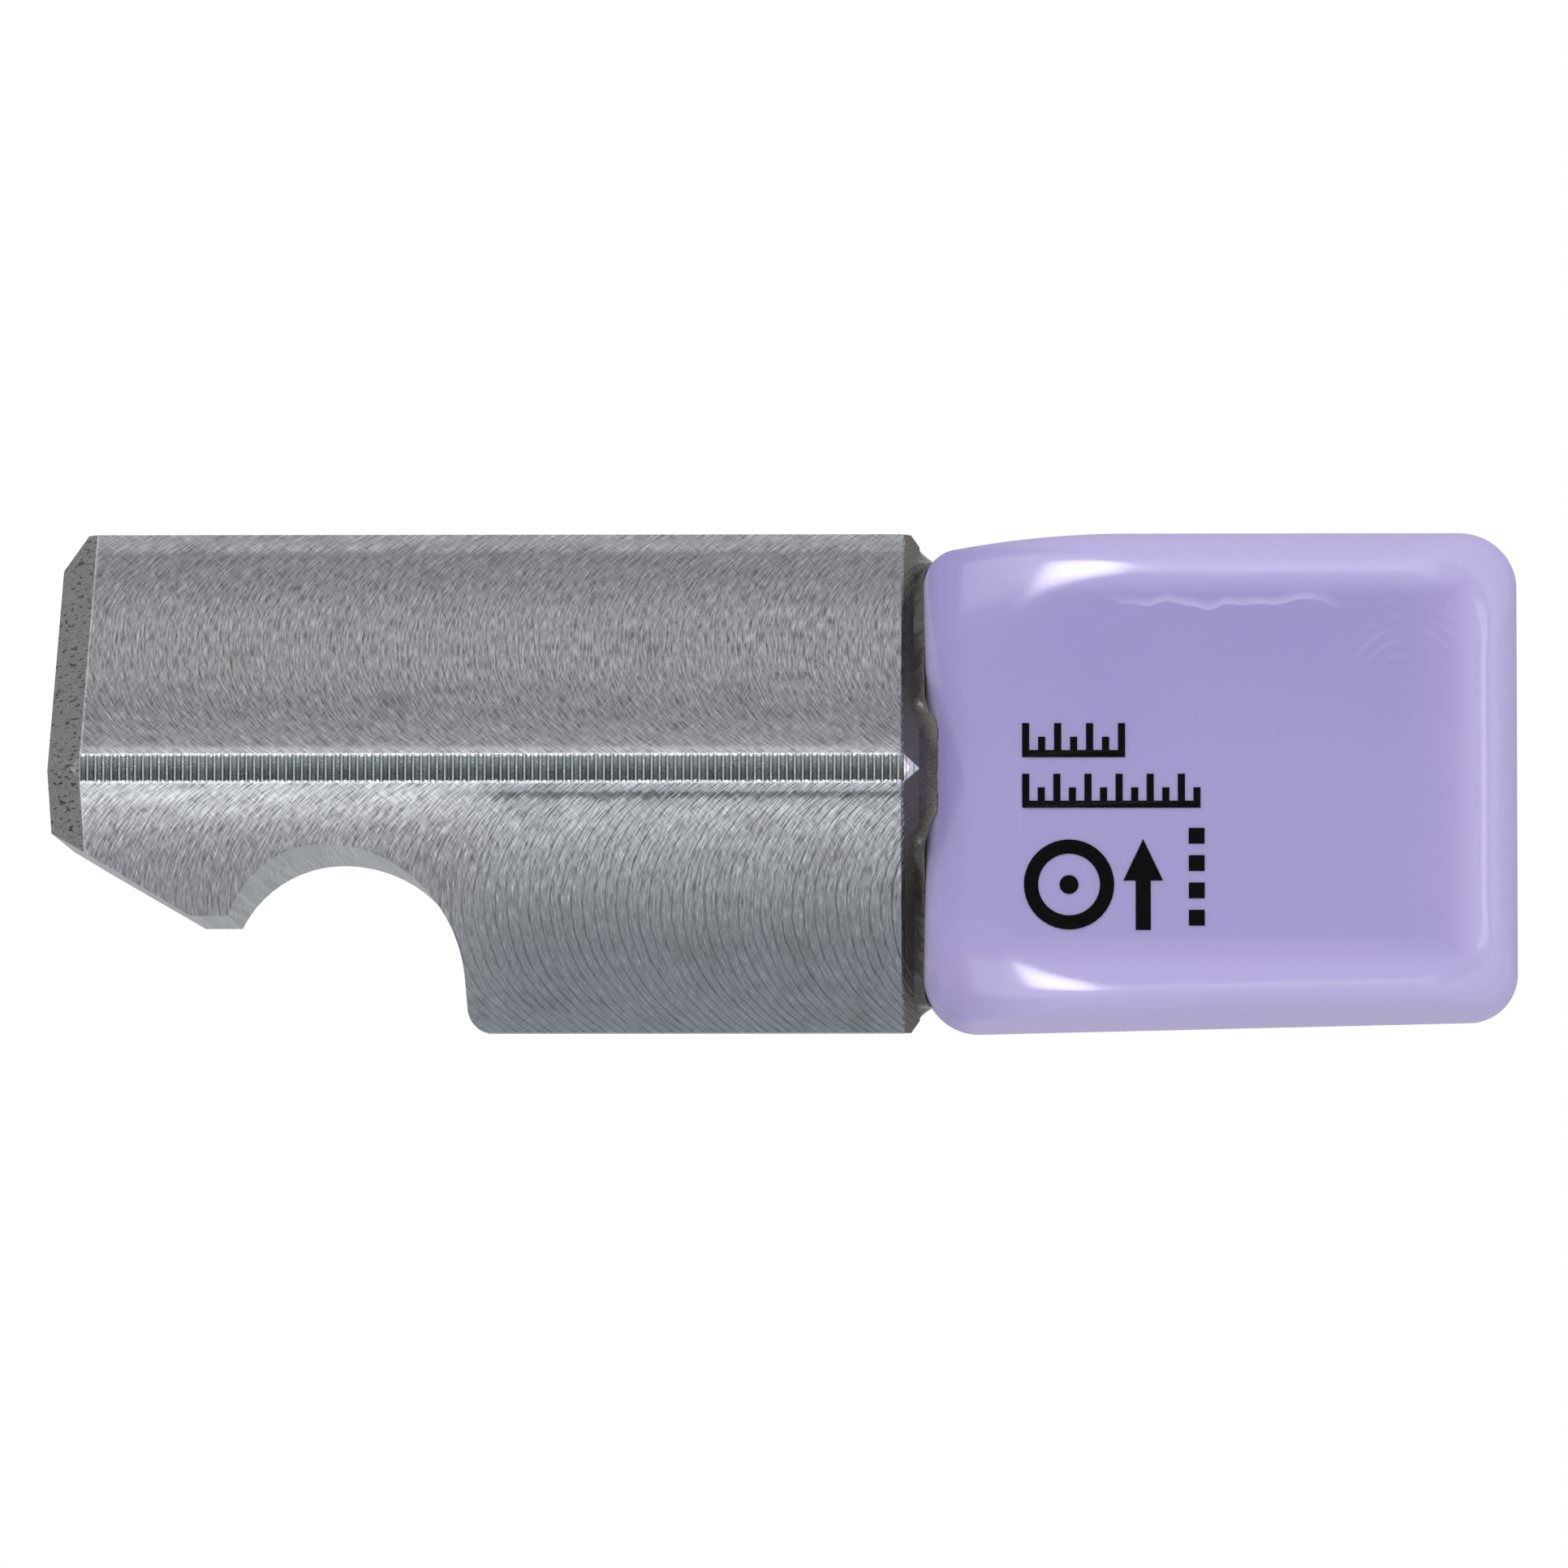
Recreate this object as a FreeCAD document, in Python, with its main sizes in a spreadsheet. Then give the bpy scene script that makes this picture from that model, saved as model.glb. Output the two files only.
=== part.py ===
import FreeCAD, Part
import math
import os
import Sketcher

# A ceramic block for dental milling, glued to the end of its steel mandrel.
# X runs along the mandrel towards the block, Z is up, and -Y is the front.
# The origin is under the middle of the part, on the surface that it rests on.

doc = FreeCAD.newDocument("milling_block")

# Driving sizes, in millimetres and degrees. Drops are measured from the
# mandrel's axis.
driving_sizes = {
    # Mandrel: a square bar that stands on its corner
    "bar_width": 9.525,
    "ridge_flat": 0.67,
    "mandrel_length": 22.0,
    "lead_chamfer": 0.88,
    "seat_chamfer": 0.46,
    # Nose, tooth and lock notch on the mandrel's underside
    "nose_slope": 30.5,
    "nose_drop": 1.5,
    "tooth_drop": 3.55,
    "notch_from_end": 6.98,
    "notch_drop": 1.82,
    "notch_nose_radius": 2.73,
    "notch_wall_radius": 3.42,
    "wall_lean": 3.0,
    "wall_round": 0.6,
    # Feed ribs that the cutter left across the front and back ridges
    "rib_pitch": 0.2,
    "rib_groove_width": 0.17,
    "rib_floor_width": 0.07,
    "rib_groove_depth": 0.035,
    # Glue between the mandrel and the block, and the bead squeezed out of it,
    # which stops short of the block's top and stands out past its front
    "bond_gap": 0.1,
    "bead_length": 0.42,
    "bead_taper": 25.0,
    "bead_setback": 0.2,
    "bead_overhang": 0.15,
    # Block, which stays a little inside the mandrel's top and bottom ridges
    "block_length": 15.1,
    "block_depth": 10.4,
    "topside_gap": 0.34,
    "underside_gap": 0.15,
    "free_end_lift": 0.32,
    "crown_start": 3.3,
    "crown_slope": 9.8,
    "crown_radius": 24.0,
    "glue_corner_top": 1.0,
    "glue_corner_bottom": 1.35,
    "free_corner_top": 1.6,
    "free_corner_bottom": 0.85,
    "edge_round": 0.75,
    # Sunken panel on the block's front and back. The rims are the flat stretches
    # between the rounded edge and the panel.
    "panel_rim_glue": 0.75,
    "panel_rim_free": 0.3,
    "panel_rim_top": 0.55,
    "panel_rim_bottom": 0.3,
    "panel_corner": 1.8,
    "panel_slope_run": 0.45,
    "panel_sink": 0.2,
}

sizes = doc.addObject("Spreadsheet::Sheet", "Sizes")
for row, (alias, value) in enumerate(driving_sizes.items(), start=1):
    sizes.set(f"A{row}", alias)
    sizes.set(f"B{row}", str(value))
    sizes.setAlias(f"B{row}", alias)
doc.recompute()

# Distances that several pieces share, as expressions on the sheet
corner_reach = "(Sizes.bar_width * sqrt(2) / 2)"
half_height = f"({corner_reach} - Sizes.ridge_flat / 2)"
part_length = "(Sizes.mandrel_length + Sizes.bond_gap + Sizes.block_length)"
mandrel_start = f"(-{part_length} / 2)"
bond_start = f"({mandrel_start} + Sizes.mandrel_length)"
block_start = f"({bond_start} + Sizes.bond_gap)"
block_top = f"({half_height} - Sizes.topside_gap)"
block_bottom = f"(Sizes.underside_gap - {half_height})"
clearance = "Sizes.bar_width"


def value_of(expression):
    return float(sizes.evalExpression(expression.replace("Sizes.", "")))


def add_body(name, start):
    """A body whose own origin lies on the mandrel's axis, at start along X."""
    body = doc.addObject("PartDesign::Body", name)
    body.Label = name
    body.setExpression("Placement.Base.x", start)
    body.setExpression("Placement.Base.z", half_height)
    return body


def origin_feature(body, role):
    return next(f for f in body.Origin.OriginFeatures if f.Role == role)


def add_sketch(body, name, plane, offset=None):
    """A sketch on one of the body's own planes, moved along its normal by offset."""
    sketch = body.newObject("Sketcher::SketchObject", name)
    sketch.AttachmentSupport = [(origin_feature(body, plane), "")]
    sketch.MapMode = "FlatFace"
    if offset:
        sketch.setExpression("AttachmentOffset.Base.z", offset)
    return sketch


def bind(sketch, kind, targets, expression):
    """Adds a constraint whose value follows the expression."""
    value = value_of(expression)
    index = sketch.addConstraint(Sketcher.Constraint(kind, *targets, value))
    sketch.setExpression(f"Constraints[{index}]", expression)


def draw_outline(sketch, corners, arcs=None):
    """A closed outline through corners, each a pair of expressions. The side that
    starts at corner n is an arc where arcs[n] gives its radius and its turn."""
    arcs = arcs or {}
    points = [FreeCAD.Vector(value_of(x), value_of(y), 0) for x, y in corners]
    count, drawn_before = len(points), sketch.GeometryCount
    for side in range(count):
        start, end = points[side], points[(side + 1) % count]
        if side not in arcs:
            sketch.addGeometry(Part.LineSegment(start, end))
            continue
        radius = value_of(arcs[side][0])
        chord = end - start
        height = math.sqrt(radius**2 - chord.Length**2 / 4)
        leftwards = FreeCAD.Vector(-chord.y, chord.x, 0).normalize()
        turns_left = arcs[side][1] == "left"
        centre = (start + end) / 2 + leftwards * (height if turns_left else -height)
        circle = Part.Circle(centre, FreeCAD.Vector(0, 0, 1), radius)
        first, last = (start, end) if turns_left else (end, start)
        angles = circle.parameter(first), circle.parameter(last)
        sketch.addGeometry(Part.ArcOfCircle(circle, *angles))

    def vertex(side, at_start):
        runs_backwards = side in arcs and arcs[side][1] == "right"
        return drawn_before + side, 1 if at_start != runs_backwards else 2

    for side in range(count):
        joined = (*vertex(side - 1 if side else count - 1, False), *vertex(side, True))
        sketch.addConstraint(Sketcher.Constraint("Coincident", *joined))
        for kind, distance in zip(("DistanceX", "DistanceY"), corners[side]):
            bind(sketch, kind, (-1, 1, *vertex(side, True)), distance)
        if side in arcs:
            bind(sketch, "Radius", (drawn_before + side,), arcs[side][0])


def mirrored_twice(corners):
    """The corners of one quarter of an outline, repeated round the origin."""
    half = corners + [(f"(-{x})", y) for x, y in reversed(corners)]
    return half + [(f"(-{x})", f"(-{y})") for x, y in half]


def add_feature(body, kind, name, **settings):
    feature = body.newObject(kind, name)
    for key, setting in settings.items():
        setattr(feature, key, setting)
    return feature


def edges_where(feature, test):
    """The names of the feature's edges whose two ends both pass the test."""
    doc.recompute()
    return [
        f"Edge{number}"
        for number, edge in enumerate(feature.Shape.Edges, start=1)
        if all(test(vertex.Point) for vertex in edge.Vertexes)
    ]


def soften(body, kind, name, base, test, size):
    """A fillet or chamfer on the edges of base that pass the test."""
    feature = add_feature(body, kind, name, Base=(base, edges_where(base, test)))
    length = "Radius" if kind == "PartDesign::Fillet" else "Size"
    feature.setExpression(length, size)
    return feature


def near(value, expression):
    return abs(value - value_of(expression)) < 1e-4


def build_mandrel():
    body = add_body("mandrel", mandrel_start)

    section = add_sketch(body, "BarSection", "YZ_Plane")
    reach = corner_reach
    draw_outline(section, [(reach, "0"), ("0", reach), (f"(-{reach})", "0"), ("0", f"(-{reach})")])
    bar = add_feature(body, "PartDesign::Pad", "Bar", Profile=section)
    bar.setExpression("Length", "Sizes.mandrel_length")

    lead = soften(body, "PartDesign::Chamfer", "LeadChamfer", bar,
                  lambda p: near(p.x, "0"), "Sizes.lead_chamfer")
    soften(body, "PartDesign::Chamfer", "SeatChamfer", lead,
           lambda p: near(p.x, "Sizes.mandrel_length"), "Sizes.seat_chamfer")

    # The bar's four corners are milled flat
    flats = add_sketch(body, "CornerFlats", "YZ_Plane")
    for edge in (half_height, clearance):
        draw_outline(flats, mirrored_twice([(edge, edge)]))
    add_feature(body, "PartDesign::Pocket", "Flats", Profile=flats,
                Type="ThroughAll", SideType="Symmetric")

    cut_underside(body)
    cut_ribs(body)
    return body


def cut_underside(body):
    """The sloped nose, the tooth and the lock notch, cut through from the side."""
    slope = "tan(Sizes.nose_slope)"
    nose_outside = f"(-Sizes.nose_drop + {clearance} * {slope})"
    tooth_start = f"((Sizes.tooth_drop - Sizes.nose_drop) / {slope})"
    tooth_level = "(-Sizes.tooth_drop)"
    tooth_over_centre = "(Sizes.notch_drop + Sizes.notch_nose_radius - Sizes.tooth_drop)"
    tooth_end = (f"(Sizes.notch_from_end"
                 f" - sqrt(Sizes.notch_nose_radius ^ 2 - {tooth_over_centre} ^ 2))")

    # Two arcs meet at the notch's top. The second runs down into a straight wall
    # that leans back, and a small round joins that to the underside.
    lean_cos, lean_sin = "cos(Sizes.wall_lean)", "sin(Sizes.wall_lean)"
    wall_top = (f"(Sizes.notch_from_end + Sizes.notch_wall_radius * {lean_cos})",
                f"(-Sizes.notch_drop - Sizes.notch_wall_radius * (1 - {lean_sin}))")
    round_centre_level = f"(Sizes.wall_round - {half_height})"
    wall_length = (f"(({wall_top[1]} - {round_centre_level}"
                   f" + Sizes.wall_round * {lean_sin}) / {lean_cos})")
    wall_foot = (f"({wall_top[0]} + {wall_length} * {lean_sin})",
                 f"({wall_top[1]} - {wall_length} * {lean_cos})")
    round_end = f"({wall_foot[0]} + Sizes.wall_round * {lean_cos})"
    below = f"(-{half_height} - {clearance})"

    profile = add_sketch(body, "UndersideProfile", "XZ_Plane")
    draw_outline(
        profile,
        [
            (f"(-{clearance})", nose_outside),
            (tooth_start, tooth_level),
            (tooth_end, tooth_level),
            ("Sizes.notch_from_end", "(-Sizes.notch_drop)"),
            wall_top,
            wall_foot,
            (round_end, f"(-{half_height})"),
            (round_end, below),
            (f"(-{clearance})", below),
        ],
        arcs={
            2: ("Sizes.notch_nose_radius", "right"),
            3: ("Sizes.notch_wall_radius", "right"),
            5: ("Sizes.wall_round", "left"),
        },
    )
    add_feature(body, "PartDesign::Pocket", "Underside", Profile=profile,
                Type="ThroughAll", SideType="Symmetric")


def cut_ribs(body):
    """One hollow across the front ridge and the back ridge, repeated along them."""
    middle = "(Sizes.lead_chamfer + Sizes.rib_pitch / 2)"
    half_width, half_floor = "(Sizes.rib_groove_width / 2)", "(Sizes.rib_floor_width / 2)"
    groove = add_sketch(body, "RibGroove", "XY_Plane")
    for sign in ("-", "+"):
        ridge = f"({sign}{half_height})"
        floor = f"({sign}({half_height} - Sizes.rib_groove_depth))"
        draw_outline(groove, [
            (f"({middle} - {half_width})", ridge),
            (f"({middle} - {half_floor})", floor),
            (f"({middle} + {half_floor})", floor),
            (f"({middle} + {half_width})", ridge),
        ])
    hollow = add_feature(body, "PartDesign::Pocket", "RibHollow", Profile=groove,
                         Type="ThroughAll", SideType="Symmetric")
    run = "(Sizes.mandrel_length - Sizes.lead_chamfer - Sizes.seat_chamfer)"
    ribs = add_feature(body, "PartDesign::LinearPattern", "Ribs", Originals=[hollow],
                       Direction=(origin_feature(body, "X_Axis"), [""]))
    count = f"floor({run} / Sizes.rib_pitch)"
    ribs.setExpression("Occurrences", count)
    ribs.setExpression("Length", f"({count} - 1) * Sizes.rib_pitch")
    body.Tip = ribs


def build_block():
    body = add_body("ceramic_block", block_start)
    top, bottom = block_top, block_bottom
    free_bottom = f"({bottom} + Sizes.free_end_lift)"
    length, depth = "Sizes.block_length", "Sizes.block_depth"
    glue_top = f"({top} - Sizes.crown_start * tan(Sizes.crown_slope))"

    profile = add_sketch(body, "SideProfile", "XZ_Plane")
    draw_outline(
        profile,
        [("0", bottom), (length, free_bottom), (length, top),
         ("Sizes.crown_start", top), ("0", glue_top)],
    )
    blank = add_feature(body, "PartDesign::Pad", "Blank", Profile=profile,
                        SideType="Symmetric")
    blank.setExpression("Length", depth)

    corners = (
        ("Crown", "Sizes.crown_start", top, "Sizes.crown_radius"),
        ("GlueCornerTop", "0", glue_top, "Sizes.glue_corner_top"),
        ("GlueCornerBottom", "0", bottom, "Sizes.glue_corner_bottom"),
        ("FreeCornerBottom", length, free_bottom, "Sizes.free_corner_bottom"),
        ("FreeCornerTop", length, top, "Sizes.free_corner_top"),
    )
    feature = blank
    for name, x, z, radius in corners:
        feature = soften(body, "PartDesign::Fillet", name, feature,
                         lambda p: near(p.x, x) and near(p.z, z), radius)
    soften(body, "PartDesign::Fillet", "EdgeRound", feature,
           lambda p: near(abs(p.y), f"({depth} / 2)"), "Sizes.edge_round")

    sink_panel(body, glue_end="(Sizes.edge_round + Sizes.panel_rim_glue)",
               free_end=f"({length} - Sizes.edge_round - Sizes.panel_rim_free)",
               bottom=f"({free_bottom} + Sizes.edge_round + Sizes.panel_rim_bottom)",
               top=f"({top} - Sizes.edge_round - Sizes.panel_rim_top)")
    return body


def sink_panel(body, glue_end, free_end, bottom, top):
    """A shallow panel with sloping sides, sunk into the front and the back."""
    face = "(Sizes.block_depth / 2)"
    sections = []
    for name, offset, inset in (
        ("PanelRim", face, "0"),
        ("PanelFloor", f"({face} - Sizes.panel_sink)", "Sizes.panel_slope_run"),
    ):
        sketch = add_sketch(body, name, "XZ_Plane", offset)
        draw_rounded_rectangle(
            sketch, f"({glue_end} + {inset})", f"({free_end} - {inset})",
            f"({bottom} + {inset})", f"({top} - {inset})",
            f"(Sizes.panel_corner - {inset} / 2)",
        )
        sections.append(sketch)
    front = add_feature(body, "PartDesign::SubtractiveLoft", "FrontPanel",
                        Profile=sections[0], Sections=sections[1:], Ruled=True)
    back = add_feature(body, "PartDesign::Mirrored", "BackPanel", Originals=[front],
                       MirrorPlane=(origin_feature(body, "XZ_Plane"), [""]))
    body.Tip = back


def draw_rounded_rectangle(sketch, left, right, bottom, top, radius):
    corners = [
        (f"({left} + {radius})", bottom), (f"({right} - {radius})", bottom),
        (right, f"({bottom} + {radius})"), (right, f"({top} - {radius})"),
        (f"({right} - {radius})", top), (f"({left} + {radius})", top),
        (left, f"({top} - {radius})"), (left, f"({bottom} + {radius})"),
    ]
    draw_outline(sketch, corners, arcs={n: (radius, "left") for n in (1, 3, 5, 7)})


def build_bond(block):
    """The glue film and its bead: a tapering plug, hollowed by the block's end."""
    stock = add_body("bond_stock", bond_start)
    seat_reach = f"({corner_reach} - Sizes.seat_chamfer * sqrt(2))"
    section = add_sketch(stock, "BondSection", "YZ_Plane")
    bead_depth = "(Sizes.block_depth / 2 + Sizes.bead_overhang)"
    bead_height = f"({block_top} - Sizes.bead_setback)"
    draw_outline(section, mirrored_twice([
        (bead_depth, f"({seat_reach} - {bead_depth})"),
        (f"({seat_reach} - {bead_height})", bead_height),
    ]))
    plug = add_feature(stock, "PartDesign::Pad", "Plug", Profile=section)
    plug.setExpression("Length", "Sizes.bead_length")
    plug.setExpression("TaperAngle", "-Sizes.bead_taper")

    bond = doc.addObject("Part::Cut", "adhesive_bond")
    bond.Label = "adhesive_bond"
    bond.Base = stock
    bond.Tool = block
    return bond


mandrel = build_mandrel()
ceramic_block = build_block()
adhesive_bond = build_bond(ceramic_block)
doc.recompute()

for item in doc.Objects:
    if {"Invalid", "Error"} & set(item.State):
        raise RuntimeError(f"{item.Label} could not be built: {item.State}")

os.makedirs("parts", exist_ok=True)
for node in (mandrel, ceramic_block, adhesive_bond):
    if node.Shape.isNull() or not node.Shape.isValid():
        raise RuntimeError(f"{node.Label} has no valid shape")
    node.Shape.exportStep(f"parts/{node.Label}.step")
    box = node.Shape.BoundBox
    print(f"{node.Label}: {len(node.Shape.Solids)} solid, {node.Shape.Volume:.2f} mm3,"
          f" X {box.XMin:.3f} {box.XMax:.3f}, Y {box.YMin:.3f} {box.YMax:.3f},"
          f" Z {box.ZMin:.3f} {box.ZMax:.3f}")
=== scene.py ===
import math
import bpy
import numpy as np
from mathutils import Matrix, Vector


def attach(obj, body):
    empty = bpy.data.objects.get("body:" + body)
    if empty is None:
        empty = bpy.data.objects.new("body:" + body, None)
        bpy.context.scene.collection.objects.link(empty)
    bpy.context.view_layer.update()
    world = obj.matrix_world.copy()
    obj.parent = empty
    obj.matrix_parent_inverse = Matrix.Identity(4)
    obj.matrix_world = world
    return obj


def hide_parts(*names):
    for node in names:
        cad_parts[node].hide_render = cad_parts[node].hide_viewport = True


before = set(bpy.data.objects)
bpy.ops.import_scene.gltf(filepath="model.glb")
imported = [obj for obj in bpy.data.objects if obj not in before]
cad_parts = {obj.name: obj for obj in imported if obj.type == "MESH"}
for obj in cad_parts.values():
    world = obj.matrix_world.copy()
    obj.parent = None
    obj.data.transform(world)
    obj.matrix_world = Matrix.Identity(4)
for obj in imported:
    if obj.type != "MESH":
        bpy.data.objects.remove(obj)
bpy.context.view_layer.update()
mm = 0.001
axisHeight = 6.4    # mm, the mandrel's axis above the floor


def hexColour(code):
    # sRGB hex to linear: c / 12.92 below 0.04045, else ((c + 0.055) / 1.055) ^ 2.4
    channels = [int(code[i:i + 2], 16) / 255 for i in (1, 3, 5)]
    return tuple(c / 12.92 if c <= 0.04045 else ((c + 0.055) / 1.055) ** 2.4 for c in channels) + (1.0,)


def addNode(tree, kind, links=None, **settings):
    # A shader node with its settings. links gives each input a value, or a socket or node to join to it,
    # and a node stands for its first output in use. A colour Mix has its share in input 0 and its colours
    # in 6 and 7.
    node = tree.nodes.new("ShaderNode" + kind)
    for key, value in settings.items():
        setattr(node, key, value)
    for key, value in (links or {}).items():
        if isinstance(value, bpy.types.Node):
            value = next(output for output in value.outputs if output.enabled)
        if isinstance(value, bpy.types.NodeSocket):
            tree.links.new(value, node.inputs[key])
        else:
            node.inputs[key].default_value = value
    return node


def newMaterial(name):
    material = bpy.data.materials.new(name)
    material.use_nodes = True
    material.node_tree.nodes.clear()
    return material, material.node_tree


def calculate(tree, operation, *values, **settings):
    return addNode(tree, "Math", dict(enumerate(values)), operation=operation, **settings)


def mixColours(tree, share, first, second, blend="MIX"):
    return addNode(tree, "Mix", {0: share, 6: first, 7: second}, data_type="RGBA", blend_type=blend)


def placeInMm(tree):
    # The piece's Object coordinates in mm
    place = addNode(tree, "TexCoord")
    return addNode(tree, "VectorMath", {0: place.outputs["Object"], "Scale": 1 / mm}, operation="SCALE")


def gridMesh(name, points, around=False, poleEnd=False, poleStart=False):
    # points[row, column] in mm is joined to its neighbours by four-sided faces. around closes each row,
    # and a pole closes the first or last row with a fan onto its middle point.
    rows, columns = points.shape[:2]
    vertices = points.reshape(-1, 3)
    index = np.arange(rows * columns).reshape(rows, columns)
    nextColumn = np.roll(index, -1, axis=1)
    reach = columns if around else columns - 1
    quads = np.stack([index[:-1, :reach], nextColumn[:-1, :reach],
                      nextColumn[1:, :reach], index[1:, :reach]], axis=-1).reshape(-1, 4)
    faces = quads.tolist()
    for wanted, row, flip in ((poleStart, 0, True), (poleEnd, rows - 1, False)):
        if wanted:
            pole = len(vertices)
            vertices = np.vstack([vertices, points[row].mean(axis=0)])
            fan = np.stack([index[row], nextColumn[row], np.full(columns, pole)], axis=-1)
            faces += (fan[:, ::-1] if flip else fan).tolist()
    mesh = bpy.data.meshes.new(name)
    mesh.from_pydata((vertices * mm).tolist(), [], faces)
    mesh.shade_smooth()
    piece = bpy.data.objects.new(name, mesh)
    bpy.context.scene.collection.objects.link(piece)
    return piece


def smoothStep(value):
    # Three times the square less twice the cube, between 0 and 1
    value = np.clip(value, 0, 1)
    return value * value * (3 - 2 * value)


cameraView = {
    "elevation": -3.70,    # degrees, a little below the axis
    "azimuth": 0.84,
    "distance": 312.6,     # mm
    "target": (-0.085, 0.0, 6.40),
    "lens": 279.65,        # mm on a 36 mm sensor
}


def placeCamera():
    tilt, turn = math.radians(cameraView["elevation"]), math.radians(cameraView["azimuth"])
    back = Vector((math.sin(turn) * math.cos(tilt), -math.cos(turn) * math.cos(tilt), math.sin(tilt)))
    right = Vector((math.cos(turn), math.sin(turn), 0))
    up = back.cross(right)
    data = bpy.data.cameras.new("camera")
    data.lens, data.sensor_width, data.sensor_fit = cameraView["lens"], 36.0, "HORIZONTAL"
    data.clip_start, data.clip_end = 0.01, 20.0
    camera = bpy.data.objects.new("camera", data)
    place = (Vector(cameraView["target"]) + back * cameraView["distance"]) * mm
    camera.matrix_world = Matrix.Translation(place) @ Matrix((right, up, back)).transposed().to_4x4()
    bpy.context.scene.collection.objects.link(camera)
    bpy.context.scene.camera = camera


studio = {
    "ambient": 0.47,        # the world's strength for diffuse light
    "floorSide": 4000,      # mm
    "floorGap": 0.02,       # mm below the part
    "floorColour": "#F4F4F4",
    # Each softbox is brightest in its middle: layers of shrinking size add up
    "layers": (1.0, 0.68, 0.36),
    # name: (place in mm, width and height in mm, each layer's radiance)
    "softboxes": {
        "softboxAbove": ((-50, -210, 208), (300, 150), 1.5),
        "softboxBelow": ((-50, -232, -170), (300, 150), 1.3),
        "stripRight": ((192, -232, 26), (80, 200), 1.8),
        "keyAboveLeft": ((-42, -238, 178), (78, 104), 8.5),
        "keyBelowLeft": ((-56, -256, -134), (72, 90), 8.5),
    },
}


def buildWorld():
    world = bpy.data.worlds.new("studio")
    world.use_nodes = True
    tree = world.node_tree
    tree.nodes.clear()
    path = addNode(tree, "LightPath")
    seen = path.outputs["Is Camera Ray"]
    for ray in ("Is Glossy Ray", "Is Transmission Ray"):
        seen = calculate(tree, "MAXIMUM", seen, path.outputs[ray])
    strength = addNode(tree, "MapRange", {"Value": seen, "To Min": studio["ambient"], "To Max": 1.0})
    background = addNode(tree, "Background", {"Color": (1, 1, 1, 1), "Strength": strength})
    addNode(tree, "OutputWorld", {"Surface": background})
    bpy.context.scene.world = world


def buildFloor():
    # Matt white paper. Seen from below it is clear, because the camera looks up at the part a little.
    half = studio["floorSide"] / 2
    across, along = np.meshgrid([-half, half], [-half, half])
    floor = gridMesh("floor", np.stack([across, along, np.full((2, 2), -studio["floorGap"])], axis=-1))
    material, tree = newMaterial("floor paper matt white")
    sides = addNode(tree, "NewGeometry")
    paper = addNode(tree, "BsdfDiffuse", {"Color": hexColour(studio["floorColour"])})
    clear = addNode(tree, "BsdfTransparent")
    surface = addNode(tree, "MixShader", {0: sides.outputs["Backfacing"], 1: paper, 2: clear})
    addNode(tree, "OutputMaterial", {"Surface": surface})
    floor.data.materials.append(material)
    # The lamps below its level shine up through it, and the light and reflections that the part gets
    # from below come from the white world
    floor.visible_shadow = False
    floor.visible_diffuse = False
    floor.visible_glossy = False


def buildLights():
    # An area lamp's radiance is its watts / (pi * area)
    aim = Vector((0, 0, axisHeight)) * mm
    for name, (place, size, radiance) in studio["softboxes"].items():
        for layer, share in enumerate(studio["layers"]):
            data = bpy.data.lights.new(f"{name}_{layer}", "AREA")
            data.shape = "RECTANGLE"
            data.size, data.size_y = size[0] * share * mm, size[1] * share * mm
            data.energy = radiance * math.pi * data.size * data.size_y
            lamp = bpy.data.objects.new(f"{name}_{layer}", data)
            lamp.location = Vector(place) * mm
            lamp.rotation_euler = (aim - lamp.location).to_track_quat("-Z", "Y").to_euler()
            lamp.visible_camera = False
            # The two keys only make highlights, so that colours aren't lit past what is written
            lamp.visible_diffuse = not name.startswith("key")
            bpy.context.scene.collection.objects.link(lamp)


bpy.context.scene.view_settings.view_transform = "Standard"
placeCamera()
buildWorld()
buildFloor()
buildLights()
print("camera, world, floor and lights are up")


steel = {
    "cutterRadius": 5.8,      # mm, the face mill's path
    "faceMiddle": 4.76,       # mm from the ridge line to the middle of a flat, along it
    "fleckWidth": 0.050, "fleckLength": 0.50,
    "trailingShare": 0.45,    # strength of the arcs from the cutter's trailing edge
    "wander": 0.2,            # mm that the arcs stray
    "feed": 0.28,             # mm between the deep lines of the lower flats
    "ribStart": -17.72, "ribEnd": 3.03, "ribPitch": 0.2, "ribHalfHeight": 0.345,
    "jag": 0.22,              # mm that the edges of the shaded bands run in and out
    # Painted light and shade of a flat by its distance in mm above or below the ridge line, lightest near the
    # ridge; the narrow bands by the ribs are a second milling pass
    "lowerLeftPaintedLight": ((0.3, "#C4C7CB"), (0.7, "#C2C5C9"), (1.05, "#B4B6BA"), (1.6, "#98999E"),
                        (2.4, "#898A8F"), (6.4, "#7C8186")),
    "lowerRightPaintedLight": ((0.3, "#B6BABF"), (0.5, "#A3A8AD"), (0.56, "#A0A5AA"), (0.61, "#6C7175"),
                         (0.69, "#777C80"), (0.78, "#A6A9AD"), (1.0, "#B0B3B7"), (1.65, "#A2A5A9"),
                         (2.4, "#94979B"), (3.2, "#83878B"), (4.2, "#747A7F"), (6.4, "#757B81")),
    "upperPaintedLight": ((0.3, "#B2B3B6"), (0.5, "#ABACB0"), (0.6, "#8F9094"), (0.75, "#8B8B8F"), (1.5, "#818085"),
                    (2.8, "#8F8F93"), (4.2, "#8F8F94"), (5.1, "#818186"), (5.85, "#7F7F84"), (6.0, "#929498"),
                    (6.4, "#96989C")),
    "burrGlint": "#E4E6E8", "tipHollow": "#9EA1A4", "endEdgeHighlight": "#C3C5C8",
    "ribRidge": "#8B8F92", "ribHollowLitTop": "#6C7174", "ribHollowShade": "#373B3E",
    "cutFace": "#555D65", "endChamfer": "#68686A", "endChamferLow": "#706F6E", "seatChamfer": "#4C4744",
    "pit": "#1D1D1F", "stain": "#8A8075",
}


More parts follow.
